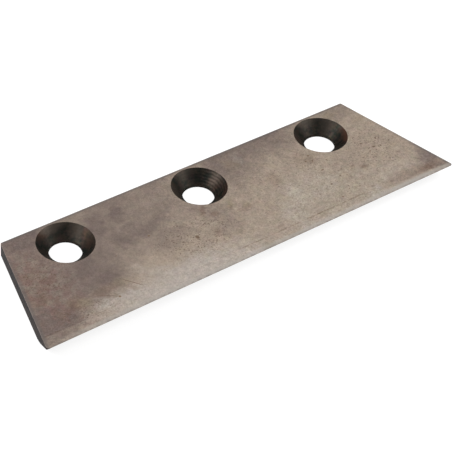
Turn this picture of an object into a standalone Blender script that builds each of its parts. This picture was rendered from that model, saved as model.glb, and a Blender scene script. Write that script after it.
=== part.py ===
"""Wood chipper knife: one flat bar of tool steel, ground to a cutting edge along its front.

The knife lies on its underside. X runs along its length, the cutting edge faces -Y and the
screw holes lie near the back edge at +Y. The origin is under the middle of the knife.
"""

import math

import bmesh
import bpy
from mathutils import Vector

MM = 0.001

# Plan of the bar: the cutting edge is longer than the back edge, so both ends slant
EDGE_LENGTH = 250 * MM
BACK_LENGTH = 214 * MM
WIDTH = 72 * MM
THICKNESS = 8 * MM
BACK_CORNER_RADIUS = 1.0 * MM
ARRIS_BREAK = 0.25 * MM

# Cutting edge, seen in section: a flat land, a steep honed bevel, then the main ground bevel
EDGE_LAND = 0.2 * MM
HONE_DEPTH = 0.9 * MM
HONE_ANGLE = math.radians(45)
BEVEL_ANGLE = math.radians(30)

# Strip of the top face that was lapped flat behind the cutting edge
LAP_WIDTH = 7 * MM
LAP_DEPTH = 0.05 * MM

# Countersunk screw holes in one row
HOLE_COUNT = 3
HOLE_PITCH = 80 * MM
HOLE_TO_BACK = 16 * MM
BORE_DIAMETER = 16.5 * MM
BORE_BREAK = 0.4 * MM
COUNTERSINK_DIAMETER = 29 * MM
COUNTERSINK_ANGLE = math.radians(90)

# How finely round shapes are cut, and how far a cutter reaches past what it cuts
HOLE_SEGMENTS = 96
CORNER_SEGMENTS = 6
CUTTER_REACH = 2 * MM
GRINDING_STOCK = CUTTER_REACH / 2
WELD_DISTANCE = 0.001 * MM
SHARP_ANGLE = math.radians(20)
ARRIS_ANGLE = math.radians(60)
FLAT_ANGLE = math.radians(0.01)

FRONT_Y = -WIDTH / 2
BACK_Y = WIDTH / 2

# Turns a flat outline so that its own x and y run along world Y and Z, and it extrudes along X
SECTION_ROTATION = (math.pi / 2, 0, math.pi / 2)


def clear_scene():
    """Remove every object that the file starts with."""
    for leftover in list(bpy.data.objects):
        bpy.data.objects.remove(leftover, do_unlink=True)


def new_collection(name):
    """Make a collection under the scene's own."""
    collection = bpy.data.collections.new(name)
    bpy.context.scene.collection.children.link(collection)
    return collection


def steel_material():
    """Ground tool steel that has darkened in use."""
    material = bpy.data.materials.new("tool_steel")
    material.use_nodes = True
    shader = material.node_tree.nodes["Principled BSDF"]
    shader.inputs["Base Color"].default_value = (0.32, 0.28, 0.24, 1)
    shader.inputs["Metallic"].default_value = 1.0
    shader.inputs["Roughness"].default_value = 0.45
    return material


def corner_arc(last, corner, following, radius):
    """Points of the arc that rounds one corner of an outline."""
    towards_last = (last - corner).normalized()
    towards_following = (following - corner).normalized()
    half_angle = towards_last.angle(towards_following) / 2
    centre = corner + (towards_last + towards_following).normalized() * radius / math.sin(half_angle)
    tangent_length = radius / math.tan(half_angle)
    first = (corner + towards_last * tangent_length - centre).normalized()
    final = (corner + towards_following * tangent_length - centre).normalized()
    steps = range(CORNER_SEGMENTS + 1)
    return [centre + radius * first.slerp(final, step / CORNER_SEGMENTS) for step in steps]


def extruded(name, outline, depth, collection, location=(0, 0, 0), rotation=(0, 0, 0)):
    """Solid made by extruding a flat outline by half the depth to each side of its plane."""
    curve = bpy.data.curves.new(name + "_outline", "CURVE")
    curve.dimensions = "2D"
    curve.fill_mode = "BOTH"
    curve.extrude = depth / 2
    spline = curve.splines.new("POLY")
    spline.points.add(len(outline) - 1)
    for point, (x, y) in zip(spline.points, outline):
        point.co = (x, y, 0, 1)
    spline.use_cyclic_u = True

    sketch = bpy.data.objects.new(name + "_sketch", curve)
    sketch.location = location
    sketch.rotation_euler = rotation
    collection.objects.link(sketch)
    bpy.context.view_layer.update()

    mesh = bpy.data.meshes.new_from_object(sketch.evaluated_get(bpy.context.evaluated_depsgraph_get()))
    mesh.name = name
    bm = bmesh.new()
    bm.from_mesh(mesh)
    bmesh.ops.remove_doubles(bm, verts=bm.verts, dist=WELD_DISTANCE)
    bmesh.ops.dissolve_limit(bm, angle_limit=FLAT_ANGLE, verts=bm.verts, edges=bm.edges)
    bmesh.ops.recalc_face_normals(bm, faces=bm.faces)
    bm.to_mesh(mesh)
    bm.free()

    solid = bpy.data.objects.new(name, mesh)
    solid.matrix_world = sketch.matrix_world
    collection.objects.link(solid)
    bpy.data.objects.remove(sketch)
    bpy.data.curves.remove(curve)
    return solid


def turned(name, profile, location, collection):
    """Solid of revolution about Z; the profile's (radius, z) points run from top to bottom."""
    mesh = bpy.data.meshes.new(name)
    points = [(radius, 0, z) for radius, z in profile]
    edges = [(index, index + 1) for index in range(len(points) - 1)]
    mesh.from_pydata(points, edges, [])
    solid = bpy.data.objects.new(name, mesh)
    solid.location = location
    collection.objects.link(solid)

    screw = solid.modifiers.new("turn", "SCREW")
    screw.angle = 2 * math.pi
    screw.steps = HOLE_SEGMENTS
    screw.render_steps = HOLE_SEGMENTS
    screw.use_merge_vertices = True
    screw.merge_threshold = WELD_DISTANCE
    screw.use_smooth_shade = True
    return solid


def mark_as_cutter(cutter):
    """Show a cutter as wires only and keep it out of renders."""
    cutter.display_type = "WIRE"
    cutter.hide_render = True


def cut_away(solid, cutter):
    """Subtract a cutter from a solid."""
    mark_as_cutter(cutter)
    cut = solid.modifiers.new(cutter.name, "BOOLEAN")
    cut.operation = "DIFFERENCE"
    cut.solver = "EXACT"
    cut.object = cutter


def make_blank(collection):
    """Bar cut to its plan shape with its arrises broken, and left wide where it is to be ground."""
    stock_y = FRONT_Y - GRINDING_STOCK
    end_slant = (EDGE_LENGTH - BACK_LENGTH) / 2 / WIDTH
    stock_half_length = EDGE_LENGTH / 2 + GRINDING_STOCK * end_slant
    front_left = Vector((-stock_half_length, stock_y))
    front_right = Vector((stock_half_length, stock_y))
    back_right = Vector((BACK_LENGTH / 2, BACK_Y))
    back_left = Vector((-BACK_LENGTH / 2, BACK_Y))
    outline = [
        front_left,
        front_right,
        *corner_arc(front_right, back_right, back_left, BACK_CORNER_RADIUS),
        *corner_arc(back_right, back_left, front_left, BACK_CORNER_RADIUS),
    ]
    blank = extruded("chipper_knife", outline, THICKNESS, collection, (0, 0, THICKNESS / 2))

    arris = blank.modifiers.new("arris", "BEVEL")
    arris.limit_method = "ANGLE"
    arris.angle_limit = ARRIS_ANGLE
    arris.width = ARRIS_BREAK
    arris.segments = 1
    return blank


def grind_edge(knife, cutters):
    """Grind the front: lapped strip on top, land at the edge, honed bevel and main bevel below."""
    over_z = THICKNESS + CUTTER_REACH
    below_z = -CUTTER_REACH
    ahead_y = FRONT_Y - GRINDING_STOCK - CUTTER_REACH
    edge_z = THICKNESS - LAP_DEPTH
    land_z = edge_z - EDGE_LAND
    hone_z = land_z - HONE_DEPTH
    hone_y = FRONT_Y + HONE_DEPTH / math.tan(HONE_ANGLE)
    bevel_y = hone_y + (hone_z - below_z) / math.tan(BEVEL_ANGLE)
    ground_away = [
        (FRONT_Y + LAP_WIDTH, over_z),
        (FRONT_Y + LAP_WIDTH, edge_z),
        (FRONT_Y, edge_z),
        (FRONT_Y, land_z),
        (hone_y, hone_z),
        (bevel_y, below_z),
        (ahead_y, below_z),
        (ahead_y, over_z),
    ]
    cutter_length = EDGE_LENGTH + 4 * CUTTER_REACH
    wheel = extruded("grinding_wheel", ground_away, cutter_length, cutters, rotation=SECTION_ROTATION)
    cut_away(knife, wheel)


def drill_holes(knife, cutters):
    """Cut the row of through bores and the countersinks that take the screw heads."""
    over_z = THICKNESS + CUTTER_REACH
    under_z = -CUTTER_REACH
    cone_slope = math.tan(COUNTERSINK_ANGLE / 2)
    cone_tip_z = THICKNESS - COUNTERSINK_DIAMETER / 2 / cone_slope
    bore_radius = BORE_DIAMETER / 2
    countersink_profile = [
        (0, over_z),
        ((over_z - cone_tip_z) * cone_slope, over_z),
        (0, cone_tip_z),
    ]
    bore_profile = [
        (0, over_z),
        (bore_radius, over_z),
        (bore_radius, BORE_BREAK),
        (bore_radius + BORE_BREAK - under_z, under_z),
        (0, under_z),
    ]
    for index in range(HOLE_COUNT):
        hole_x = (index - (HOLE_COUNT - 1) / 2) * HOLE_PITCH
        centre = (hole_x, BACK_Y - HOLE_TO_BACK, 0)
        cut_away(knife, turned(f"countersink_{index + 1}", countersink_profile, centre, cutters))
        cut_away(knife, turned(f"drill_{index + 1}", bore_profile, centre, cutters))


def finish_surface(knife):
    """Bake the cuts into the mesh, then shade round walls smooth and keep real edges sharp."""
    bpy.context.view_layer.update()
    evaluated = knife.evaluated_get(bpy.context.evaluated_depsgraph_get())
    mesh = bpy.data.meshes.new_from_object(evaluated)
    mesh.name = "chipper_knife"
    mesh.shade_smooth()
    mesh.set_sharp_from_angle(angle=SHARP_ANGLE)
    knife.modifiers.clear()
    knife.data = mesh
    mesh.materials.clear()
    mesh.materials.append(steel_material())


def main():
    clear_scene()
    parts = new_collection("wood_chipper_knife")
    cutters = new_collection("cutters")
    knife = make_blank(parts)
    grind_edge(knife, cutters)
    drill_holes(knife, cutters)
    finish_surface(knife)


main()
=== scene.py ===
import math
import random

import bmesh
import bpy
from mathutils import Matrix, Vector


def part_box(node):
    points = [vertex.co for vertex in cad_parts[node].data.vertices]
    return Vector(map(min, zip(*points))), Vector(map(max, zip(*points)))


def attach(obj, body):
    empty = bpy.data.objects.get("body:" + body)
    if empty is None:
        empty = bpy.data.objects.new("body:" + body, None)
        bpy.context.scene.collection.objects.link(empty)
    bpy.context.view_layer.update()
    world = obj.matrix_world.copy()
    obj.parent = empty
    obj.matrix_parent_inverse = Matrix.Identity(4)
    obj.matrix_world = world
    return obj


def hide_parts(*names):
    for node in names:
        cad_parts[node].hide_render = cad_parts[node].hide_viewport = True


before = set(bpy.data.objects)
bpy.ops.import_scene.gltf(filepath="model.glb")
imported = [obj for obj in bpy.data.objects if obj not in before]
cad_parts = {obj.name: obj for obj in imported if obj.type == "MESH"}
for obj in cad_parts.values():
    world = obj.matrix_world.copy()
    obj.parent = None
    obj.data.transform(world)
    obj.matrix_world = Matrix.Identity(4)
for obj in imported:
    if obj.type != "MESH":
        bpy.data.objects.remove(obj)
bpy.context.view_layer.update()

MM = 0.001
NODE = "chipper_knife"

knife_low, knife_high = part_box(NODE)

# Sizes of the knife, as in the solid that this piece stands for
EDGE_LENGTH = knife_high.x - knife_low.x
WIDTH = knife_high.y - knife_low.y
THICKNESS = knife_high.z - knife_low.z
FRONT_Y = knife_low.y
BACK_Y = knife_high.y
BACK_LENGTH = 214 * MM
BACK_CORNER_RADIUS = 1.0 * MM
ARRIS_BREAK = 0.25 * MM
EDGE_LAND = 0.2 * MM
HONE_DEPTH = 0.9 * MM
HONE_ANGLE = math.radians(45)
BEVEL_ANGLE = math.radians(30)
LAP_WIDTH = 7 * MM
LAP_DEPTH = 0.05 * MM
HOLE_X = (-80 * MM, 0.0, 80 * MM)
HOLE_Y = BACK_Y - 16 * MM
BORE_RADIUS = 8.25 * MM
BORE_BREAK = 0.1 * MM
COUNTERSINK_RADIUS = 14.5 * MM
COUNTERSINK_SLOPE = math.tan(math.radians(45))

END_SLOPE = (EDGE_LENGTH - BACK_LENGTH) / 2 / WIDTH
MIDDLE_LENGTH = (EDGE_LENGTH + BACK_LENGTH) / 2

# Fine form that only this piece has
FRONT_CORNER_RADIUS = 1.4 * MM
FOOT_ANGLES = (27, 22, 17, 12, 7, 3)
FOOT_STEP = 1.6 * MM
RIM_BREAK = 0.06 * MM
RIM_SLOPE = math.tan(math.radians(22.5))
RING_PITCH = 0.8 * MM
RING_STEPS = 4
RING_DEPTHS = (0.005 * MM, 0.006 * MM, 0.005 * MM)

# How finely round shapes are cut, how far cutters reach, and which edges stay sharp
HOLE_SEGMENTS = 192
CORNER_SEGMENTS = 12
ARRIS_SEGMENTS = 3
CUTTER_REACH = 2 * MM
CORNER_LIFT = 0.01 * MM
WELD_DISTANCE = 0.001 * MM
SHARP_ANGLE = math.radians(12)
ARRIS_ANGLE = math.radians(60)

# Turns a flat outline so that its own x and y run along world Y and Z, and it extrudes along X
SECTION_ROTATION = (math.pi / 2, 0, math.pi / 2)

# The blank's materials in order, and how steeply a face has to look up or down to be top or underside
FACE_INDEX = 0
SCALE_INDEX = 1
UNDER_INDEX = 2
LEVEL_NORMAL = 0.5

# UV map that runs round the axis of each hole
TURNING_MAP = "turning"

# Old scratches in the top face: (x, y, length, width) in millimetres and the turn in degrees
SCRATCHES = (
    (-68.2, -20.1, 11.8, 0.36, -54),
    (-83.6, -21.2, 9.4, 0.2, -36),
)

# Rust pits in the top face: (x, y, length, width) in millimetres
NAMED_PITS = (
    (-23.3, -10.9, 1.7, 2.4),
    (-43.2, 2.5, 1.3, 1.1),
    (-78.4, -25.1, 1.3, 1.2),
    (-64.6, -1.1, 0.9, 0.6),
    (63.1, 9.8, 1.4, 1.3),
    (59.0, 6.7, 1.1, 0.9),
    (62.4, 5.1, 1.1, 0.8),
    (62.4, -3.2, 1.8, 1.0),
    (59.3, -14.5, 1.1, 1.0),
    (67.5, -11.5, 1.0, 0.9),
    (55.0, -12.0, 0.8, 0.6),
    (71.0, -13.0, 0.7, 0.7),
    (71.3, -7.7, 0.7, 0.6),
    (69.0, -8.0, 0.6, 0.6),
    (66.0, -20.0, 0.8, 0.6),
    (65.0, -22.0, 0.9, 0.5),
    (71.0, -23.4, 1.0, 0.8),
    (58.0, -25.3, 1.2, 0.9),
    (54.0, -27.0, 0.8, 0.5),
    (94.0, 2.8, 1.4, 0.7),
    (93.0, 9.0, 1.1, 0.6),
    (103.8, 3.0, 1.1, 0.9),
    (98.3, -2.6, 1.8, 0.8),
    (102.0, -3.6, 1.1, 0.9),
    (94.0, -4.4, 1.3, 0.9),
    (-103.0, 8.0, 0.8, 0.8),
    (-101.0, -4.0, 0.6, 0.6),
    (-106.0, -2.0, 0.6, 0.5),
)
PIT_DEPTH = 0.09 * MM
PIT_SIDES = 14

# Small pits scattered over the speckled patches: how many, and how far from a patch's middle they
# may lie, as a share of its size
SCATTER_SEED = 11
SCATTERED_PITS = 40
SCATTER_REACH = 0.6

# Their least size, how much larger they may be and the room they leave, in millimetres
LEAST_PIT = 0.35
PIT_SIZE_RANGE = 0.5
PIT_MARGIN = 2
LAP_MARGIN = 1
PIT_SPACING = 2.5

# Rings of a pit's bowl, from above the face to its floor: (share of the width, share of the depth)
PIT_RINGS = ((1.12, -1.0), (1.0, 0.0), (0.85, 0.55), (0.55, 0.9), (0.2, 1.0))

# Floor just under the knife, and the shades of white that it and the world show or give off
FLOOR_SIZE = 6
FLOOR_GAP = 0.02 * MM
FLOOR_PAPER = (0.8, 0.8, 0.8, 1)
FLOOR_GREY = (0.2, 0.2, 0.2, 1)
FLOOR_GLOW = 0.85
WHITE = (1, 1, 1, 1)
SOFT_DAYLIGHT = 0.33

# Soft lights: (name, azimuth, elevation, distance, size, brightness), in degrees and metres
LIGHTS = (
    ("key", 148, 45, 1.2, 0.6, 13),
    ("fill", -26, 45, 1.2, 0.6, 10),
    ("overhead", 50, 46, 1.6, 1.6, 0.45),
)

# Camera, aimed close to the middle of the knife
CAMERA_SENSOR = 36
CAMERA_LENS = 125
CAMERA_AZIMUTH = math.radians(40.39)
CAMERA_ELEVATION = math.radians(41.85)
CAMERA_ROLL = math.radians(5.82)
CAMERA_AIM = Vector((-3.64, -8.34, 4.0)) * MM
CAMERA_DISTANCE = 783.8 * MM


class Graph:
    """Builds a node tree; an input takes a plain value or another node's output."""

    def __init__(self, tree):
        self.tree = tree

    def node(self, kind, inputs=None, **settings):
        made = self.tree.nodes.new(kind)
        for name, value in settings.items():
            setattr(made, name, value)
        for key, value in (inputs or {}).items():
            self.feed(made.inputs[key], value)
        return made

    def feed(self, socket, value):
        if isinstance(value, bpy.types.NodeSocket):
            self.tree.links.new(value, socket)
        else:
            socket.default_value = value

    def math(self, operation, first, second=0.0, third=0.0, clamp=False):
        made = self.node("ShaderNodeMath", {0: first, 1: second, 2: third}, operation=operation)
        made.use_clamp = clamp
        return made.outputs[0]

    def vector(self, operation, first, second=(0, 0, 0), third=(0, 0, 0), scale=1.0):
        inputs = {0: first, 1: second, 2: third, 3: scale}
        made = self.node("ShaderNodeVectorMath", inputs, operation=operation)
        return made.outputs["Value" if operation == "LENGTH" else "Vector"]

    def range(self, value, start, end, low=0.0, high=1.0, smooth=True):
        kind = "SMOOTHSTEP" if smooth else "LINEAR"
        inputs = {"Value": value, "From Min": start, "From Max": end, "To Min": low, "To Max": high}
        return self.node("ShaderNodeMapRange", inputs, interpolation_type=kind).outputs[0]

    def mix(self, factor, first, second):
        made = self.node("ShaderNodeMix", data_type="RGBA")
        self.feed(made.inputs["Factor"], factor)
        self.feed(made.inputs["A"], first)
        self.feed(made.inputs["B"], second)
        return made.outputs["Result"]

    def place(self, point, centre=(0, 0, 0), turn=0.0, size=(1, 1, 1)):
        """The point in the frame of a patch with this centre, turn in degrees and size."""
        rotation = (0, 0, math.radians(turn))
        inputs = {"Vector": point, "Location": centre, "Rotation": rotation, "Scale": size}
        return self.node("ShaderNodeMapping", inputs, vector_type="TEXTURE").outputs[0]

    def noise(self, point, size, detail=2.0, roughness=0.5, distortion=0.0):
        """Noise whose features are about this many millimetres across."""
        inputs = {"Vector": point, "Scale": 1 / size, "Detail": detail, "Roughness": roughness,
                  "Distortion": distortion}
        return self.node("ShaderNodeTexNoise", inputs)

    def swirl(self, point, size):
        """A push of up to about half a unit each way, which varies over about this many millimetres."""
        return self.vector("SUBTRACT", self.noise(point, size).outputs["Color"], (0.5, 0.5, 0.5))

    def shift(self, point, size, reach):
        """The point pushed about by noise, by up to about half this reach."""
        return self.vector("ADD", point, self.vector("SCALE", self.swirl(point, size), scale=reach))

    def shade(self, colour, value, gain):
        """The colour made lighter or darker by a noise value of 0 to 1, by up to half this gain."""
        return self.vector("SCALE", colour, scale=self.math("MULTIPLY_ADD", value, gain, 1 - gain / 2))

    def tint(self, colour, hues, gain):
        """The colour tinted by a noise colour, by up to half this gain in each of its channels."""
        factor = self.vector("MULTIPLY_ADD", hues, (gain,) * 3, (1 - gain / 2,) * 3)
        return self.vector("MULTIPLY", colour, factor)


def srgb(red, green, blue):
    """A colour written as 0 to 255 screen values, as the linear values that a shader takes."""
    def linear(value):
        share = value / 255
        return share / 12.92 if share <= 0.04045 else ((share + 0.055) / 1.055) ** 2.4
    return (linear(red), linear(green), linear(blue), 1)


# Colours of the top face
BARE_STEEL = srgb(164, 149, 134)
TARNISHED_STEEL = srgb(117, 103, 97)
SILVER_LEFT = srgb(186, 178, 172)
SILVER_RIGHT = srgb(186, 177, 167)
ROSY_STEEL = srgb(126, 102, 95)
RUST_BLUSH = srgb(119, 98, 86)
OLIVE_BLUSH = srgb(146, 132, 109)
RUST_SPECK = srgb(94, 77, 64)
LINE_BROWN = srgb(105, 84, 66)
WORN_STEEL = srgb(106, 99, 96)
HONED_STEEL = srgb(172, 166, 159)
DULL_STEEL = srgb(112, 106, 102)

# Colours of the holes, the ends and back, the bevel, the underside and the pits
SCALE_SHADES = (srgb(46, 47, 43), srgb(68, 60, 54))
SCALE_BLUSH = srgb(98, 70, 58)
# Colour of the pale dust and of the painted sheen on the countersink walls
SCALE_DUST_AND_SHEEN = srgb(88, 79, 72)
# Colour of the painted shade on the countersink walls
SCALE_PAINTED_SHADE = srgb(34, 36, 33)
SCALE_LIP = srgb(92, 72, 63)
END_SHADES = (srgb(42, 40, 41), srgb(53, 48, 46))
BEVEL_SHADES = (srgb(158, 150, 142), srgb(136, 126, 117))
UNDER_SHADES = (srgb(160, 146, 133), srgb(122, 107, 97))
UNDER_RUST = srgb(120, 98, 83)
UNDER_SPECK = srgb(96, 79, 66)
PIT_SHADES = (srgb(98, 82, 68), srgb(116, 98, 82))


def new_material(name):
    """A material with its graph, its shader and the surface point in millimetres."""
    material = bpy.data.materials.new(name)
    material.use_nodes = True
    graph = Graph(material.node_tree)
    shader = material.node_tree.nodes["Principled BSDF"]
    coordinates = graph.node("ShaderNodeTexCoord").outputs["Object"]
    millimetres = graph.vector("SCALE", coordinates, scale=1 / MM)
    return material, graph, shader, millimetres


# Depth of a soft patch in millimetres, so great that height makes no difference inside it
PATCH_DEPTH = 1000


def patch(graph, point, x, y, length, width, turn=0.0, softness=0.6):
    """1 inside an oval patch of the top face, falling softly to 0 at its rim."""
    size = (length / 2, width / 2, PATCH_DEPTH)
    local = graph.place(point, (x, y, THICKNESS / MM), turn, size)
    return graph.range(graph.vector("LENGTH", local), 1 + softness, 1 - softness)


def patches(graph, point, ovals, softness=0.6):
    """Sum of soft patches; each oval is (x, y, length, width, turn, strength)."""
    total = 0.0
    for x, y, length, width, turn, strength in ovals:
        covered = patch(graph, point, x, y, length, width, turn, softness)
        total = graph.math("MULTIPLY_ADD", covered, strength, total)
    return total


# Soft ovals of the top face: (x, y, length, width, turn in degrees, strength), in millimetres.
# They are the tarnish, silvery places, rusty and olive blushes, single spots, places full of
# specks or of crackle, and the stretches where the lapped strip's line shows.
TARNISH = (
    (-107, 4, 64, 62, 0, 0.71),
    (-77, -9, 28, 32, 0, 0.38),
    (-74, -13, 10, 10, 0, 0.20),
    (-99, 25, 12, 14, 0, 0.20),
    (-114, -25, 30, 20, 0, 0.72),
    (-100, 33, 26, 14, 0, 0.62),
    (-45, 37, 64, 18, 0, 0.30),
    (-52, 16, 56, 40, 0, 0.60),
    (-40, 8, 26, 9, 10, 0.30),
    (-33, -5, 22, 12, 5, 0.34),
    (-70, -10, 22, 11, -12, 0.18),
    (-16, 24, 24, 40, 0, 0.38),
    (-5, -3, 18, 30, 0, 0.42),
    (20, 26, 23, 28, 0, 0.78),
    (51, 33, 36, 24, 0, 0.72),
    (35, 22, 13, 20, 0, 0.36),
    (30, 38, 100, 8, 0, 0.35),
    (119, -20, 8, 26, -14, 0.60),
    (14, 6, 14, 12, 0, 0.20),
    (99, 31, 22, 16, 0, 0.45),
    (52, 13, 10, 9, 0, 0.20),
    (-62, 22, 12, 16, 0, 0.35),
    (-48, 24, 11, 8, 0, 0.34),
    (-50, 15, 6, 6, 0, 0.25),
    (-56, 7, 8, 12, 0, 0.28),
    (-55, -6, 10, 10, 0, 0.18),
    (77, -4, 16, 9, 0, 0.18),
    (4, -35, 8, 6, 0, 0.55),
    (-95, -17, 9, 7, 0, 0.24),
    (-84, 36, 34, 6, 0, 0.30),
    (102, -28, 20, 8, 0, 0.30),
    (115, -24, 13, 11, 0, 0.42),
    (121, -33, 9, 5, -10, 0.55),
    (-118, -35, 18, 6, 0, 0.46),
)
BRIGHT = (
    (-46, -33, 84, 22, 2, 0.60),
    (50, -36, 116, 7, 0, 0.40),
    (-55, -18, 18, 6, -40, 0.22),
    (64, -24, 84, 20, 0, 0.29),
    (-80, -26, 28, 5, 0, 0.22),
    (52, -13, 34, 12, 0, 0.18),
    (48, -10, 34, 22, 0, 0.22),
    (29, -26, 10, 24, 0, 0.30),
    (39, -14, 8, 20, 0, 0.22),
    (-88, -23, 7, 6, 0, 0.30),
    (-8, -35, 8, 4, 0, 0.40),
    (75, -32, 12, 4, 0, 0.34),
    (30, 27, 5, 12, 0, 0.20),
)
RUST = (
    (-112, -7, 13, 9, 10, 0.50),
    (-107, 8, 8, 7, 0, 0.35),
    (-104, 1, 10, 8, 0, 0.35),
    (-99, -18, 10, 7, 20, 0.60),
    (-107, -21, 7, 5, 0, 0.45),
    (-82, -18, 13, 6, 0, 0.45),
    (-10, 3.5, 8, 3, 55, 0.60),
    (-6, -1, 5, 4, 0, 0.50),
    (4, -1, 5, 3, 60, 0.35),
    (10, -6, 8, 4, 15, 0.36),
    (-12, -12, 5, 5, 0, 0.32),
    (60, 9, 11, 11, 0, 0.26),
    (36, 4, 6, 11, -8, 0.32),
    (117, -30, 15, 9, 8, 0.26),
    (111, -31, 9, 4, 0, 0.36),
    (100, -30, 30, 8, 0, 0.32),
    (83, -12, 5, 4, 0, 0.35),
)
OLIVE = (
    (-95, -20, 8, 6, 0, 0.40),
    (-72, -17, 9, 6, 0, 0.25),
    (5, 1, 7, 3, 50, 0.50),
    (12, -4, 5, 4, 0, 0.30),
    (24, 25, 8, 8, 0, 0.25),
    (4, -35, 7, 4, 0, 0.40),
    (54, -20, 60, 22, 0, 0.25),
    (106, 20, 7, 5, 0, 0.35),
    (94, 31, 6, 4, 0, 0.40),
)
DOTS = (
    (61, 7, 5, 5, 0, 0.25),
    (78, -9, 3.0, 1.4, 10, 0.6),
    (83, -12.5, 3.4, 2.4, 0, 0.5),
    (87, -19, 1.6, 3.6, 0, 0.4),
    (77, -27, 2.6, 1.6, 0, 0.5),
    (88, -29, 2.6, 1.6, 0, 0.5),
    (105, 1.8, 4.2, 0.5, 42, 0.6),
    (-23.3, -10.9, 2.2, 2.6, 0, 0.9),
    (17, -26, 4.0, 1.6, 0, 0.4),
)
SPECKLED = (
    (98, -2, 26, 28, 0, 0.8),
    (-24, -10, 34, 22, 0, 1.5),
    (-104, 4, 24, 26, 0, 1.0),
    (62, 6, 16, 18, 0, 0.6),
    (70, -18, 44, 24, 0, 0.3),
    (-96, -26, 30, 12, 0, 0.75),
    (34, -6, 40, 50, 0, 0.2),
)
WRINKLED = (
    (99, -2, 24, 30, 0, 0.75),
    (-25, -11, 30, 26, 0, 0.7),
    (76, -18, 36, 14, 0, 0.25),
    (62, -30, 104, 12, 0, 0.5),
)
LAP_MARKS = (
    (-118, -29, 14, 6, 0, 0.6),
    (-3, -29, 14, 6, 0, 0.7),
    (19, -29, 16, 6, 0, 0.8),
    (40, -29, 19, 6, 0, 1.0),
    (61, -29, 16, 6, 0, 0.9),
)

# Single soft patches of the top face: (x, y, length, width) and for the last its turn and softness
LAPPED_PATCH = (24, -29, 96, 14)
LEFT_TIP_PATCH = (-116, -31, 22, 14)
ROSY_PATCH = (-107, -2, 28, 48)
SMOOTH_PATCH = (-58, -2, 62, 86)
PALE_EDGE_PATCH = (98, -34.5, 32, 4, 0, 0.4)

# Strips of the top face, in millimetres across it: where each begins to show and where it is full
LAPPED_STRIP = (-28.7, -29.3)
RUSTY_STRIP = (-33.6, -32.2)
HONED_STRIP = (-32.7, -34.5)
DULL_STRIP = (-34.8, -35.7)
WORN_BACK_STRIP = (33.8, 35.4)

# The same for the honed strip along the knife, and for the worn ends by their distance inwards
HONED_STRETCH = (-124, -94)
WORN_END_STRIP = (2.4, 0.6)

# Where the lapped strip's fine line runs, in millimetres across the face
LAP_LINE_Y = -28.9

# Brightness noise of the ground faces: (size in millimetres, gain), and the gain of their tints
MOTTLE = (
    (6.0, 0.20),
    (3.0, 0.24),
    (1.5, 0.30),
    (0.7, 0.80),
)
TINT_GAIN = 0.10

# Finish of the ground faces; the noise of the underside is that of a place far off the top face
GROUND_METALLIC = 0.85
GROUND_ROUGHNESS = (0.42, 0.50)
GROUND_BUMP = 0.35
GROUND_RELIEF = 0.03 * MM
UNDER_OFFSET = (310, 170, 90)


def mottled(graph, point, colour):
    """The colour with the soft tints and the fine grain that every ground face has."""
    colour = graph.tint(colour, graph.noise(point, 4, 1, 0.6).outputs["Color"], TINT_GAIN)
    for size, gain in MOTTLE:
        grain = graph.noise(point, size, 1, 0.5).outputs[0]
        colour = graph.shade(colour, grain, gain)
    return colour, grain


def stained_colour(graph, point, close, across):
    """The top face's stains under its fine marks, and the grain that runs through them."""
    broad = graph.shift(graph.shift(point, 16, 9), 4, 7)
    wisps = graph.swirl(graph.place(point, turn=-45, size=(3, 1, 1)), 3)
    broad = graph.vector("ADD", broad, graph.vector("SCALE", wisps, scale=8))

    tarnish = patches(graph, broad, TARNISH)
    cloud = graph.noise(point, 9, 4, 0.6).outputs[0]
    tarnish = graph.math("MULTIPLY_ADD", cloud, 0.5, graph.math("SUBTRACT", tarnish, 0.25), clamp=True)
    lap = patch(graph, point, *LAPPED_PATCH)
    cleaned = graph.math("MULTIPLY_ADD", patch(graph, point, *LEFT_TIP_PATCH), 0.6, lap)
    cleaned = graph.math("MULTIPLY", graph.range(across[1], *LAPPED_STRIP), cleaned, clamp=True)
    tarnish = graph.math("MULTIPLY", tarnish, graph.math("MULTIPLY_ADD", cleaned, -0.4, 1.0))
    bright = patches(graph, broad, BRIGHT)
    rust = patches(graph, close, RUST)
    olive = patches(graph, close, OLIVE)

    rust = graph.math("MULTIPLY", rust, graph.range(across[1], *RUSTY_STRIP))
    silver = graph.mix(graph.range(across[0], -50, 40), SILVER_LEFT, SILVER_RIGHT)
    colour = graph.mix(tarnish, BARE_STEEL, TARNISHED_STEEL)
    colour = graph.mix(bright, colour, silver)
    rosy = graph.range(graph.noise(point, 4.5, 2).outputs[0], 0.4, 0.6, 0, 0.7)
    rosy = graph.math("MULTIPLY", patch(graph, broad, *ROSY_PATCH), rosy)
    colour = graph.mix(rosy, colour, ROSY_STEEL)
    colour = graph.mix(rust, colour, RUST_BLUSH)
    even = graph.mix(olive, colour, OLIVE_BLUSH)
    smooth = patch(graph, point, *SMOOTH_PATCH)
    colour, grain = mottled(graph, point, even)
    return graph.mix(graph.math("MULTIPLY", smooth, 0.35), colour, even), grain


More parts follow.
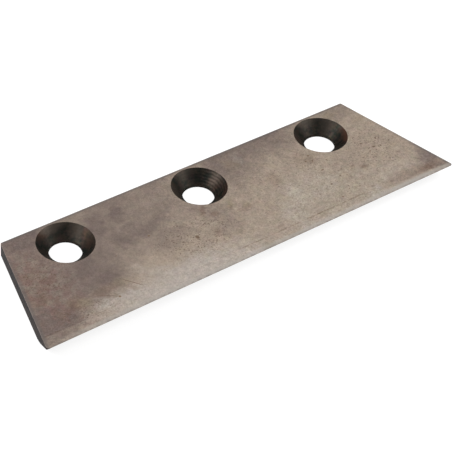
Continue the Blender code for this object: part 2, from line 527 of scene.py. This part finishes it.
def fine_marks(graph, point, close, across):
    """Strength of the specks, crackle and single spots on the top face, and the specks' own noise."""
    base = graph.range(across[0], 0, 40, 0.25, 0.4)
    crowd = graph.math("ADD", patches(graph, close, SPECKLED), base)
    speckle = graph.noise(point, 0.9, 3, 0.6).outputs[0]
    specks = graph.math("MULTIPLY", graph.range(speckle, 0.55, 0.68), crowd, clamp=True)
    wave = graph.noise(graph.place(point, size=(1.7, 1, 1)), 2.4, 2, 0.5, 1.5).outputs[0]
    wave = graph.math("ABSOLUTE", graph.math("SUBTRACT", wave, 0.5))
    base = graph.range(across[0], 20, 60, 0, 0.2)
    crackle = graph.math("ADD", patches(graph, close, WRINKLED), base)
    wrinkles = graph.math("MULTIPLY", graph.range(wave, 0.035, 0.0), crackle)
    marks = graph.math("MAXIMUM", specks, graph.math("MULTIPLY", wrinkles, 0.45))
    spots = patches(graph, graph.shift(point, 0.8, 0.9), DOTS, 0.35)
    return graph.math("MAXIMUM", marks, spots, clamp=True), speckle


def lap_line(graph, point, across, dashes):
    """Strength of the fine broken line where the lapped strip ends."""
    wander = graph.noise(point, 6, 2).outputs[0]
    line = graph.math("SUBTRACT", across[1], LAP_LINE_Y)
    line = graph.math("MULTIPLY_ADD", graph.math("SUBTRACT", wander, 0.5), 0.6, line)
    line = graph.range(graph.math("ABSOLUTE", line), 0.55, 0.1)
    line = graph.math("MULTIPLY", line, dashes)
    line = graph.math("MULTIPLY", line, patches(graph, point, LAP_MARKS), clamp=True)
    return graph.math("MULTIPLY", line, 0.56)


def worn_edges(graph, point, across, dashes, colour):
    """The colour with the worn ends and back, the paler honed strip and the dull cutting edge."""
    half = graph.math("MULTIPLY_ADD", across[1], -END_SLOPE, MIDDLE_LENGTH / 2 / MM)
    inside = graph.math("SUBTRACT", half, graph.math("ABSOLUTE", across[0]))
    lower = graph.range(graph.math("MULTIPLY_ADD", across[0], 0.1, across[1]), 22, -12, 0.15, 0.65)
    worn = graph.math("MULTIPLY", graph.range(inside, *WORN_END_STRIP), lower)
    rear = graph.math("MULTIPLY", graph.range(across[1], *WORN_BACK_STRIP), 0.6)
    colour = graph.mix(graph.math("MAXIMUM", worn, rear), colour, WORN_STEEL)
    stretch = graph.range(across[0], *HONED_STRETCH, 0, 0.5)
    honed = graph.math("MULTIPLY", graph.range(across[1], *HONED_STRIP), stretch)
    honed = graph.math("MULTIPLY_ADD", patch(graph, point, *PALE_EDGE_PATCH), 0.3, honed)
    colour = graph.mix(honed, colour, HONED_STEEL)
    dull = graph.math("MULTIPLY", graph.range(across[1], *DULL_STRIP, 0, 0.45), dashes)
    return graph.mix(dull, colour, DULL_STEEL)


def face_steel():
    """Top face: ground steel, tarnished brown towards the left and the back, with rust specks."""
    material, graph, shader, point = new_material("face_steel")
    across = graph.node("ShaderNodeSeparateXYZ", {0: point}).outputs
    close = graph.shift(point, 3, 4)
    colour, grain = stained_colour(graph, point, close, across)
    marks, speckle = fine_marks(graph, point, close, across)
    colour = graph.mix(graph.math("MULTIPLY", marks, 0.75), colour, RUST_SPECK)
    dashes = graph.noise(graph.place(point, size=(1, 100, 100)), 3, 2).outputs[0]
    dashes = graph.range(dashes, 0.4, 0.55, 0.15, 1)
    colour = graph.mix(lap_line(graph, point, across, dashes), colour, LINE_BROWN)
    colour = worn_edges(graph, point, across, dashes, colour)

    graph.feed(shader.inputs["Base Color"], colour)
    shader.inputs["Metallic"].default_value = GROUND_METALLIC
    rough = graph.range(grain, 0.3, 0.7, *GROUND_ROUGHNESS, smooth=False)
    graph.feed(shader.inputs["Roughness"], graph.math("MULTIPLY_ADD", marks, 0.15, rough))
    height = graph.math("SUBTRACT", grain, graph.range(speckle, 0.58, 0.68))
    relief = {"Strength": GROUND_BUMP, "Distance": GROUND_RELIEF, "Height": height}
    graph.feed(shader.inputs["Normal"], graph.node("ShaderNodeBump", relief).outputs[0])
    return material


# Soft ovals of the countersinks: rusty blushes near the rims, paler dust with painted sheen where a
# light's fan falls, and painted shade that dims parts of the walls
RIM_BLUSH = (
    (-86, 32, 9, 4, 25, 0.45),
    (-68, 18, 5, 14, -10, 0.2),
    (92, 13, 4, 11, -30, 0.9),
    (68, 25, 4, 7, 25, 0.6),
    (11, 20, 6, 9, 0, 0.2),
    (11, 11, 4, 10, -45, 0.3),
)
# Pale dust along the far rims, and painted sheen on the side of each countersink where a light's fan
# falls
DUST_AND_SHEEN = (
    (-80, 33.5, 16, 4, 0, 1.0),
    (-70, 27, 6, 7, 0, 0.6),
    (80, 33, 14, 4, 0, 0.5),
    (90, 27, 7, 7, 0, 0.6),
    (69, 26, 6, 9, 0, 0.6),
    (12, 23, 5, 7, 10, 0.5),
    (0, 33, 14, 4, 0, 0.4),
    (-12, 26, 6, 10, 0, 0.7),
)
# Painted shade: dark ovals that dim parts of the countersink walls where a light's fan would show
PAINTED_SHADE_OVALS = (
    (-84, 30, 12, 6, 15, 0.35),
    (-3, 31, 9, 8, 0, 0.3),
    (78, 30, 9, 7, 10, 0.3),
    (5, 31, 6, 9, 0, 0.3),
)

# Painted glints of the turning rings in a countersink, light and dark in turn: their pitch in
# millimetres of height, and where they stand out
GLINT_BAND_HEIGHT = 1.15
GLINT_PATCH = (11, 21, 12, 20)

# Heights on a hole's wall, in millimetres: of its rusty lip, and of the painted shade, from its darkest
# place deep in the hole to its lightest near the rim
LIP_HEIGHTS = (6.6, 7.6)
SHADED_WALL_HEIGHTS = (1.8, 7.5)


def hole_scale():
    """Dark scale on the turned walls of the holes, whose fine rings spread the light up the wall. Its
    colour also carries painted glints of the rings, patches of painted sheen and painted shade, and
    painted shade that darkens it deeper in the hole.
    """
    material, graph, shader, point = new_material("hole_scale")
    loose = graph.shift(point, 3, 3)
    cloud = graph.noise(point, 3.0, 4, 0.65).outputs
    colour = graph.mix(graph.range(cloud[0], 0.35, 0.65), *SCALE_SHADES)
    colour = graph.tint(colour, cloud["Color"], 0.5)
    colour = graph.mix(patches(graph, loose, RIM_BLUSH), colour, SCALE_BLUSH)
    # Pale dust and painted sheen laid over the scale
    colour = graph.mix(patches(graph, loose, DUST_AND_SHEEN), colour, SCALE_DUST_AND_SHEEN)
    # Painted shade laid over the scale
    colour = graph.mix(patches(graph, loose, PAINTED_SHADE_OVALS), colour, SCALE_PAINTED_SHADE)
    height = graph.node("ShaderNodeSeparateXYZ", {0: point}).outputs[2]
    lip = graph.range(height, *LIP_HEIGHTS)
    lip = graph.math("MULTIPLY", lip, graph.range(cloud[0], 0.3, 0.6))
    colour = graph.mix(graph.math("MULTIPLY", lip, 0.6), colour, SCALE_LIP)

    # Painted glints: light and dark rings round the wall, strongest in one patch of the middle
    # countersink where a light's fan falls
    wobble = graph.noise(point, 4, 2).outputs[0]
    turns = graph.math("MULTIPLY_ADD", wobble, 1.4, height)
    turns = graph.math("SINE", graph.math("MULTIPLY", turns, 2 * math.pi / GLINT_BAND_HEIGHT))
    clear = graph.math("ADD", patch(graph, point, *GLINT_PATCH), 0.12, clamp=True)
    painted_glints = graph.math("MULTIPLY_ADD", turns, graph.math("MULTIPLY", clear, 0.28), 1.0)
    colour = graph.vector("SCALE", colour, scale=painted_glints)
    # Painted shade: the wall is painted darker the deeper it lies in the hole
    colour = graph.vector("SCALE", colour, scale=graph.range(height, *SHADED_WALL_HEIGHTS, 0.65, 1.15))

    graph.feed(shader.inputs["Base Color"], colour)
    shader.inputs["Metallic"].default_value = 0.8
    shader.inputs["Specular IOR Level"].default_value = 0.2
    shader.inputs["Specular Tint"].default_value = (0.25, 0.25, 0.25, 1)
    grain = graph.noise(point, 1.1, 3, 0.6).outputs[0]
    graph.feed(shader.inputs["Roughness"], graph.range(grain, 0.3, 0.7, 0.52, 0.62))
    bump = graph.node("ShaderNodeBump", {"Strength": 0.3, "Distance": 0.05 * MM, "Height": grain})
    graph.feed(shader.inputs["Normal"], bump.outputs[0])
    shader.inputs["Anisotropic"].default_value = 0.66
    tangent = graph.node("ShaderNodeTangent", direction_type="UV_MAP", uv_map=TURNING_MAP)
    graph.feed(shader.inputs["Tangent"], tangent.outputs[0])
    return material


def under_steel():
    """Underside: ground steel that was clamped in its holder, with broad brown stains."""
    material, graph, shader, point = new_material("under_steel")
    aside = graph.vector("ADD", point, UNDER_OFFSET)
    stain = graph.noise(graph.shift(aside, 9, 8), 34, 4, 0.6).outputs[0]
    colour = graph.mix(graph.range(stain, 0.38, 0.62), *UNDER_SHADES)
    rust = graph.range(graph.noise(graph.shift(aside, 5, 6), 17, 3).outputs[0], 0.56, 0.72)
    colour = graph.mix(graph.math("MULTIPLY", rust, 0.6), colour, UNDER_RUST)
    colour, grain = mottled(graph, aside, colour)
    crowd = graph.range(graph.noise(aside, 26, 2).outputs[0], 0.4, 0.7, 0.1, 0.9)
    specks = graph.range(graph.noise(aside, 0.9, 3, 0.6).outputs[0], 0.55, 0.68)
    colour = graph.mix(graph.math("MULTIPLY", specks, crowd), colour, UNDER_SPECK)

    graph.feed(shader.inputs["Base Color"], colour)
    shader.inputs["Metallic"].default_value = GROUND_METALLIC
    rough = graph.range(grain, 0.3, 0.7, *GROUND_ROUGHNESS, smooth=False)
    graph.feed(shader.inputs["Roughness"], rough)
    relief = {"Strength": GROUND_BUMP, "Distance": GROUND_RELIEF, "Height": grain}
    graph.feed(shader.inputs["Normal"], graph.node("ShaderNodeBump", relief).outputs[0])
    return material


def worked_steel(name, shades, metallic, roughness, streaks, specular=0.5):
    """Steel of two cloudy shades whose grain is drawn out by these factors along x, y and z."""
    material, graph, shader, point = new_material(name)
    cloud = graph.noise(point, 7, 4, 0.6).outputs[0]
    colour = graph.mix(graph.range(cloud, 0.36, 0.64), *shades)
    grain = graph.noise(graph.place(point, size=streaks), 0.35, 3, 0.6).outputs[0]
    colour = graph.shade(colour, grain, 0.7)
    colour = graph.shade(colour, graph.noise(point, 1.4, 2).outputs[0], 0.4)
    graph.feed(shader.inputs["Base Color"], colour)
    shader.inputs["Metallic"].default_value = metallic
    shader.inputs["Specular IOR Level"].default_value = specular
    graph.feed(shader.inputs["Roughness"], graph.range(grain, 0.3, 0.7, roughness, roughness + 0.12))
    bump = graph.node("ShaderNodeBump", {"Strength": 0.3, "Distance": 0.02 * MM, "Height": grain})
    graph.feed(shader.inputs["Normal"], bump.outputs[0])
    return material


def corner_arc(last, corner, following, radius):
    """Points of the arc that rounds one corner of an outline."""
    towards_last = (last - corner).normalized()
    towards_following = (following - corner).normalized()
    half_angle = towards_last.angle(towards_following) / 2
    centre = corner + (towards_last + towards_following).normalized() * radius / math.sin(half_angle)
    tangent_length = radius / math.tan(half_angle)
    first = (corner + towards_last * tangent_length - centre).normalized()
    final = (corner + towards_following * tangent_length - centre).normalized()
    steps = range(CORNER_SEGMENTS + 1)
    return [centre + radius * first.slerp(final, step / CORNER_SEGMENTS) for step in steps]


def prism(name, outline, depth, material, location=(0, 0, 0), rotation=(0, 0, 0)):
    """Closed solid from a flat outline, extruded by half the depth to each side."""
    bm = bmesh.new()
    bottom = [bm.verts.new((x, y, -depth / 2)) for x, y in outline]
    face = bm.faces.new(bottom)
    raised = bmesh.ops.extrude_face_region(bm, geom=[face])["geom"]
    top = [item for item in raised if isinstance(item, bmesh.types.BMVert)]
    bmesh.ops.translate(bm, vec=(0, 0, depth), verts=top)
    bmesh.ops.recalc_face_normals(bm, faces=bm.faces)
    mesh = bpy.data.meshes.new(name)
    bm.to_mesh(mesh)
    bm.free()
    mesh.materials.append(material)
    solid = bpy.data.objects.new(name, mesh)
    solid.location = location
    solid.rotation_euler = rotation
    bpy.context.scene.collection.objects.link(solid)
    return solid


def turned(name, profile, location, material):
    """Solid of revolution about Z; the profile's (radius, z) points run from top to bottom."""
    mesh = bpy.data.meshes.new(name)
    points = [(radius, 0, z) for radius, z in profile]
    mesh.from_pydata(points, [(index, index + 1) for index in range(len(points) - 1)], [])
    mesh.materials.append(material)
    solid = bpy.data.objects.new(name, mesh)
    solid.location = location
    bpy.context.scene.collection.objects.link(solid)
    screw = solid.modifiers.new("turn", "SCREW")
    screw.angle = 2 * math.pi
    screw.steps = HOLE_SEGMENTS
    screw.render_steps = HOLE_SEGMENTS
    screw.use_merge_vertices = True
    screw.merge_threshold = WELD_DISTANCE
    return solid


def cut_away(solid, cutter):
    """Subtract a cutter; the new faces take the cutter's material."""
    cut = solid.modifiers.new(cutter.name, "BOOLEAN")
    cut.operation = "DIFFERENCE"
    cut.solver = "EXACT"
    cut.material_mode = "TRANSFER"
    cut.object = cutter


def bake_modifiers(solid):
    """Replace the mesh by what its modifiers make of it, without slivers."""
    bpy.context.view_layer.update()
    evaluated = solid.evaluated_get(bpy.context.evaluated_depsgraph_get())
    mesh = bpy.data.meshes.new_from_object(evaluated)
    bm = bmesh.new()
    bm.from_mesh(mesh)
    bmesh.ops.dissolve_degenerate(bm, dist=WELD_DISTANCE, edges=bm.edges)
    bm.to_mesh(mesh)
    bm.free()
    solid.modifiers.clear()
    solid.data = mesh


def make_blank(face, scale, under):
    """Bar with broken arrises, left wide at the front where it is to be ground."""
    stock = CUTTER_REACH / 2
    front_left = Vector((-EDGE_LENGTH / 2 - stock * END_SLOPE, FRONT_Y - stock))
    front_right = Vector((EDGE_LENGTH / 2 + stock * END_SLOPE, FRONT_Y - stock))
    back_right = Vector((BACK_LENGTH / 2, BACK_Y))
    back_left = Vector((-BACK_LENGTH / 2, BACK_Y))
    outline = [
        front_left,
        front_right,
        *corner_arc(front_right, back_right, back_left, BACK_CORNER_RADIUS),
        *corner_arc(back_right, back_left, front_left, BACK_CORNER_RADIUS),
    ]
    blank = prism("knife", outline, THICKNESS, face, (0, 0, THICKNESS / 2))
    blank.data.materials.append(scale)
    blank.data.materials.append(under)
    for polygon in blank.data.polygons:
        if polygon.normal.z > LEVEL_NORMAL:
            polygon.material_index = FACE_INDEX
        elif polygon.normal.z < -LEVEL_NORMAL:
            polygon.material_index = UNDER_INDEX
        else:
            polygon.material_index = SCALE_INDEX
    arris = blank.modifiers.new("arris", "BEVEL")
    arris.limit_method = "ANGLE"
    arris.angle_limit = ARRIS_ANGLE
    arris.width = ARRIS_BREAK
    arris.segments = ARRIS_SEGMENTS
    arris.material = FACE_INDEX
    return blank


def soft_foot(hone_y, hone_z):
    """The bevel's foot in section, where the bevel runs out into the underside in a gentle curve."""
    turns = map(math.radians, FOOT_ANGLES)
    steps = [Vector((math.cos(turn), -math.sin(turn))) * FOOT_STEP for turn in turns]
    foot_z = -sum(step.y for step in steps[:-1])
    points = [Vector((hone_y + (hone_z - foot_z) / math.tan(BEVEL_ANGLE), foot_z))]
    for step in steps:
        points.append(points[-1] + step)
    return [tuple(point) for point in points]


def grind_edge(knife, bevel, face):
    """Grind the front: lapped strip on top, land at the edge, honed bevel and main bevel below."""
    over_z = THICKNESS + CUTTER_REACH
    below_z = -CUTTER_REACH
    ahead_y = FRONT_Y - 2 * CUTTER_REACH
    edge_z = THICKNESS - LAP_DEPTH
    land_z = edge_z - EDGE_LAND
    hone_z = land_z - HONE_DEPTH
    hone_y = FRONT_Y + HONE_DEPTH / math.tan(HONE_ANGLE)
    foot = soft_foot(hone_y, hone_z)
    lapped = [
        (ahead_y, over_z),
        (FRONT_Y + LAP_WIDTH, over_z),
        (FRONT_Y + LAP_WIDTH, edge_z),
        (ahead_y, edge_z),
    ]
    ground_away = [
        (ahead_y, over_z),
        (FRONT_Y, over_z),
        (FRONT_Y, land_z),
        (hone_y, hone_z),
        *foot,
        (foot[-1][0], below_z),
        (ahead_y, below_z),
    ]
    length = EDGE_LENGTH + 4 * CUTTER_REACH
    cutters = [
        prism("lapping_plate", lapped, length, face, rotation=SECTION_ROTATION),
        prism("grinding_wheel", ground_away, length, bevel, rotation=SECTION_ROTATION),
    ]
    for cutter in cutters:
        cut_away(knife, cutter)
    return cutters


def turning_rings(depth):
    """Profile of a countersink's wall, from its rim down to the bore, with fine turned rings."""
    wall_depth = (COUNTERSINK_RADIUS - BORE_RADIUS) / COUNTERSINK_SLOPE
    top = Vector((COUNTERSINK_RADIUS, THICKNESS))
    bottom = Vector((BORE_RADIUS, THICKNESS - wall_depth))
    outward = Vector((1, -1)).normalized()
    start = RIM_BREAK / (bottom - top).length
    count = round((bottom - top).length / RING_PITCH)
    steps = count * RING_STEPS
    points = []
    for step in range(steps + 1):
        wave = depth * math.sin(2 * math.pi * step / RING_STEPS)
        points.append(tuple(top.lerp(bottom, start + (1 - start) * step / steps) + outward * wave))
    return points


def drill_holes(knife, scale):
    """Through bores with countersinks, each with its rims lightly broken."""
    cutters = []
    over = CUTTER_REACH
    for index, x in enumerate(HOLE_X):
        profile = [
            (0, THICKNESS + over),
            (COUNTERSINK_RADIUS + RIM_BREAK + over / RIM_SLOPE, THICKNESS + over),
            (COUNTERSINK_RADIUS + RIM_BREAK, THICKNESS),
            *turning_rings(RING_DEPTHS[index]),
            (BORE_RADIUS, BORE_BREAK),
            (BORE_RADIUS + BORE_BREAK + over, -over),
            (0, -over),
        ]
        cutter = turned(f"hole_{index + 1}", profile, (x, HOLE_Y, 0), scale)
        cut_away(knife, cutter)
        cutters.append(cutter)
    return cutters


def round_corners(knife, scale):
    """Round the two sharp front corners a little, where the ends meet the cutting edge.

    Each cutter starts just outside the bar, so that it crosses the faces instead of touching them.
    """
    cutters = []
    for side in (-1, 1):
        corner = Vector((side * EDGE_LENGTH / 2, FRONT_Y))
        along_front = Vector((-side, 0))
        along_end = Vector((-side * END_SLOPE, 1)).normalized()
        arc = corner_arc(corner + along_end, corner, corner + along_front, FRONT_CORNER_RADIUS)
        past_end = Vector((side, END_SLOPE)).normalized() * CUTTER_REACH
        past_front = Vector((0, -1)) * CUTTER_REACH
        arc[0] += past_end.normalized() * CORNER_LIFT
        arc[-1] += past_front.normalized() * CORNER_LIFT
        outline = [*arc, arc[-1] + past_front, corner + past_front + past_end, arc[0] + past_end]
        cutter = prism(f"corner_{side}", outline, 3 * THICKNESS, scale)
        cut_away(knife, cutter)
        cutters.append(cutter)
    return cutters


def on_open_face(x, y):
    """True if a point in millimetres is clear of the ends, the lapped strip and the holes."""
    if abs(x) > MIDDLE_LENGTH / 2 / MM - y * END_SLOPE - PIT_MARGIN:
        return False
    if y < (FRONT_Y + LAP_WIDTH) / MM + LAP_MARGIN:
        return False
    clear = COUNTERSINK_RADIUS / MM + PIT_MARGIN
    return all(math.hypot(x - hole / MM, y - HOLE_Y / MM) > clear for hole in HOLE_X)


def scattered_pits(chance):
    """The named pits, and small ones strewn over the speckled patches of the top face."""
    pits = list(NAMED_PITS)
    while len(pits) < len(NAMED_PITS) + SCATTERED_PITS:
        middle_x, middle_y, length, width, _, _ = chance.choice(SPECKLED)
        x = middle_x + chance.uniform(-SCATTER_REACH, SCATTER_REACH) * length
        y = middle_y + chance.uniform(-SCATTER_REACH, SCATTER_REACH) * width
        size = LEAST_PIT + PIT_SIZE_RANGE * chance.random() ** 3
        if on_open_face(x, y) and all(math.hypot(x - p[0], y - p[1]) > PIT_SPACING for p in pits):
            pits.append((x, y, size, size * chance.uniform(0.7, 1.2)))
    return pits


def sink_pit(bm, centre, length, width, degrees, reach):
    """Closed bowl of rings about its centre; the reach stretches it by a factor on every side."""
    heading = Matrix.Rotation(math.radians(degrees), 3, "Z")
    rings = []
    for share, drop in PIT_RINGS:
        lowered = Vector((0, 0, drop * PIT_DEPTH))
        ring = []
        for side, stretch in enumerate(reach):
            turn = 2 * math.pi * side / PIT_SIDES
            half = share * stretch * MM / 2
            spread = Vector((math.cos(turn) * length, math.sin(turn) * width, 0)) * half
            ring.append(bm.verts.new(centre + heading @ spread - lowered))
        rings.append(ring)
    bm.faces.new(rings[0])
    bm.faces.new(reversed(rings[-1]))
    for upper, lower in zip(rings, rings[1:]):
        for side in range(PIT_SIDES):
            after = (side + 1) % PIT_SIDES
            bm.faces.new((upper[side], lower[side], lower[after], upper[after]))


def rust_pits(knife, rust):
    """Shallow rust pits and old scratches in the top face, cut with one cutter."""
    chance = random.Random(SCATTER_SEED)
    pits = [(*pit, 0) for pit in scattered_pits(chance)]
    bm = bmesh.new()
    for x, y, length, width, degrees in pits + list(SCRATCHES):
        reach = [chance.uniform(0.8, 1.15) for _ in range(PIT_SIDES)]
        sink_pit(bm, Vector((x * MM, y * MM, THICKNESS)), length, width, degrees, reach)
    mesh = bpy.data.meshes.new("pits")
    bm.to_mesh(mesh)
    bm.free()
    mesh.materials.append(rust)
    cutter = bpy.data.objects.new("pits", mesh)
    bpy.context.scene.collection.objects.link(cutter)
    cut_away(knife, cutter)
    return cutter


def map_turning(mesh, index):
    """Lay a UV map on the hole walls that runs round each hole's axis."""
    layer = mesh.uv_layers.new(name=TURNING_MAP)
    for polygon in mesh.polygons:
        centre = min(HOLE_X, key=lambda x: abs(x - polygon.center.x))
        first = None
        for loop in polygon.loop_indices:
            point = mesh.vertices[mesh.loops[loop].vertex_index].co
            if polygon.material_index != index:
                layer.uv[loop].vector = (point.x / EDGE_LENGTH, point.y / EDGE_LENGTH)
                continue
            turn = math.atan2(point.y - HOLE_Y, point.x - centre) / (2 * math.pi)
            if first is None:
                first = turn
            turn += round(first - turn)
            layer.uv[loop].vector = (point.z / THICKNESS, turn)


def make_knife():
    """The knife in its steels, as the one dressed piece."""
    face = face_steel()
    under = under_steel()
    scale = worked_steel(
        "end_scale", END_SHADES, metallic=0.0, roughness=0.55, streaks=(1, 1, 12), specular=0.04
    )
    bevel = worked_steel(
        "bevel_steel", BEVEL_SHADES, metallic=0.95, roughness=0.30, streaks=(1, 40, 40)
    )
    hole = hole_scale()
    rust = worked_steel(
        "pit_rust", PIT_SHADES, metallic=0.3, roughness=0.7, streaks=(1, 1, 1), specular=0.2
    )
    knife = make_blank(face, scale, under)
    cutters = grind_edge(knife, bevel, face)
    cutters += round_corners(knife, scale)
    cutters += drill_holes(knife, hole)
    cutters.append(rust_pits(knife, rust))
    bake_modifiers(knife)
    for cutter in cutters:
        bpy.data.objects.remove(cutter)
    mesh = knife.data
    curved = [mesh.materials.find(material.name) for material in (hole, bevel, rust)]
    for polygon in mesh.polygons:
        polygon.use_smooth = polygon.material_index in curved
    mesh.set_sharp_from_angle(angle=SHARP_ANGLE)
    map_turning(mesh, mesh.materials.find(hole.name))
    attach(knife, "root")
    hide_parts(NODE)


def make_floor():
    """White floor just under the knife, closed from above and clear from below.

    The camera and reflections see it nearly white; for soft light it is plain paper.
    """
    bpy.ops.mesh.primitive_plane_add(size=FLOOR_SIZE, location=(0, 0, -FLOOR_GAP))
    floor = bpy.context.object
    floor.name = "floor"
    material = bpy.data.materials.new("white_floor")
    material.use_nodes = True
    graph = Graph(material.node_tree)
    material.node_tree.nodes.clear()
    path = graph.node("ShaderNodeLightPath").outputs
    seen = graph.math("ADD", path["Is Camera Ray"], path["Is Glossy Ray"])
    seen = graph.math("ADD", seen, path["Is Transmission Ray"], clamp=True)
    paper = graph.node("ShaderNodeBsdfDiffuse", {"Color": FLOOR_PAPER}).outputs[0]
    glow = graph.node("ShaderNodeEmission", {"Color": WHITE, "Strength": FLOOR_GLOW}).outputs[0]
    dimmed = graph.node("ShaderNodeBsdfDiffuse", {"Color": FLOOR_GREY}).outputs[0]
    lit = graph.node("ShaderNodeAddShader", {0: glow, 1: dimmed}).outputs[0]
    upper = graph.node("ShaderNodeMixShader", {0: seen, 1: paper, 2: lit}).outputs[0]
    clear = graph.node("ShaderNodeBsdfTransparent").outputs[0]
    below = graph.node("ShaderNodeNewGeometry").outputs["Backfacing"]
    shown = graph.node("ShaderNodeMixShader", {0: below, 1: upper, 2: clear}).outputs[0]
    graph.node("ShaderNodeOutputMaterial", {"Surface": shown})
    floor.data.materials.append(material)


def make_world():
    """Even soft light from all round, and white behind the knife."""
    world = bpy.data.worlds.new("studio")
    bpy.context.scene.world = world
    world.use_nodes = True
    graph = Graph(world.node_tree)
    world.node_tree.nodes.clear()
    seen = graph.node("ShaderNodeLightPath").outputs["Is Camera Ray"]
    soft = graph.node("ShaderNodeBackground", {"Color": WHITE, "Strength": SOFT_DAYLIGHT}).outputs[0]
    white = graph.node("ShaderNodeBackground", {"Color": WHITE, "Strength": 1.0}).outputs[0]
    shown = graph.node("ShaderNodeMixShader", {0: seen, 1: soft, 2: white}).outputs[0]
    graph.node("ShaderNodeOutputWorld", {"Surface": shown})


def softbox(name, azimuth, elevation, distance, size, brightness):
    """Square soft light aimed at the knife; its power follows from how bright its face is."""
    data = bpy.data.lights.new(name, "AREA")
    data.size = size
    data.energy = brightness * math.pi * size ** 2
    lamp = bpy.data.objects.new(name, data)
    turn = math.radians(azimuth)
    rise = math.radians(elevation)
    towards = Vector((math.cos(turn) * math.cos(rise), math.sin(turn) * math.cos(rise), math.sin(rise)))
    lamp.location = towards * distance
    lamp.rotation_euler = towards.to_track_quat("Z", "Y").to_euler()
    lamp.visible_camera = False
    bpy.context.scene.collection.objects.link(lamp)


def make_lights():
    for light in LIGHTS:
        softbox(*light)


def make_camera():
    """Camera at the photograph's viewing angle, turned a little about its own line of sight."""
    data = bpy.data.cameras.new("camera")
    data.sensor_width = CAMERA_SENSOR
    data.lens = CAMERA_LENS
    camera = bpy.data.objects.new("camera", data)
    bpy.context.scene.collection.objects.link(camera)
    level = Vector((math.sin(CAMERA_AZIMUTH), math.cos(CAMERA_AZIMUTH), 0))
    forward = level * math.cos(CAMERA_ELEVATION) - Vector((0, 0, math.sin(CAMERA_ELEVATION)))
    camera.location = CAMERA_AIM - forward * CAMERA_DISTANCE
    camera.rotation_euler = forward.to_track_quat("-Z", "Y").to_euler()
    camera.rotation_euler.rotate_axis("Z", CAMERA_ROLL)
    bpy.context.scene.camera = camera


def main():
    make_camera()
    make_world()
    make_lights()
    make_floor()
    make_knife()
    bpy.context.scene.view_settings.view_transform = "Standard"


main()
